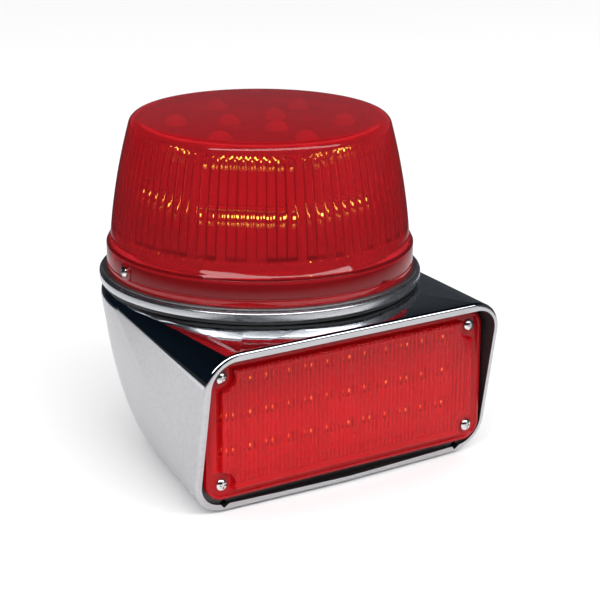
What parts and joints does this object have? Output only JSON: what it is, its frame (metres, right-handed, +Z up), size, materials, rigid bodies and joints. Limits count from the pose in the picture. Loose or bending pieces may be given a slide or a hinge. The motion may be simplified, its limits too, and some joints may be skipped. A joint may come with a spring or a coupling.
{
  "type": "warning beacon with perimeter lamp",
  "caption": "Vehicle warning beacon: a red fluted dome over a two-tier LED column, on a polished cast housing whose raked front lip holds a rectangular red LED lamp.",
  "frame": {"origin": "centre of the base bolt pattern, on the underside of the base plate", "axes": "+Z up along the dome's axis direction; the rectangular lamp faces -Y; +X to the lamp's right seen from the front"},
  "size_m": [0.1892, 0.1906, 0.1926],
  "materials": {
    "polished_aluminium": "polished to a near mirror",
    "cast_aluminium": "as cast, satin",
    "stainless_sheet": "brushed",
    "stainless": "bright",
    "black_steel": "black oxide",
    "black_rubber": "matt",
    "black_plastic": "moulded, fine texture",
    "ivory_plastic": "moulded",
    "red_wire": "smooth sleeve",
    "circuit_board": "solder mask",
    "led": "clear over a phosphor chip",
    "led_cap": "moulded, smooth",
    "bright_reflector": "vacuum plated",
    "brass": "turned",
    "red_lens": "clear moulded, glossy"
  },
  "bodies": {
    "root": {"housing_casting": "polished_aluminium", "base_plate": "stainless_sheet", "base_plate_screws": "black_steel", "cable_grommet": "black_rubber", "terminal_block": "ivory_plastic", "terminal_screws": "stainless", "lamp_lead": "red_wire", "beacon_lead": "red_wire", "lamp_gasket": "black_rubber", "lamp_body": "ivory_plastic", "lamp_board": "circuit_board", "lamp_emitters": "led", "lamp_reflector": "bright_reflector", "lamp_lens": "red_lens", "lamp_screws": "stainless", "collar_gasket": "black_rubber", "collar_ring": "polished_aluminium", "beacon_base": "cast_aluminium", "beacon_bolts": "stainless", "driver_board": "circuit_board", "driver_parts": "black_plastic", "board_standoffs": "brass", "led_column": "cast_aluminium", "lower_boards": "circuit_board", "lower_emitters": "led", "lower_reflectors": "bright_reflector", "upper_boards": "circuit_board", "upper_emitters": "led", "upper_reflectors": "bright_reflector", "tie_rods": "stainless", "tie_nuts": "stainless", "top_plate": "bright_reflector", "top_caps": "led_cap", "dome_gasket": "black_rubber", "dome_lens": "red_lens", "dome_screws": "stainless"}
  },
  "joints": []
}
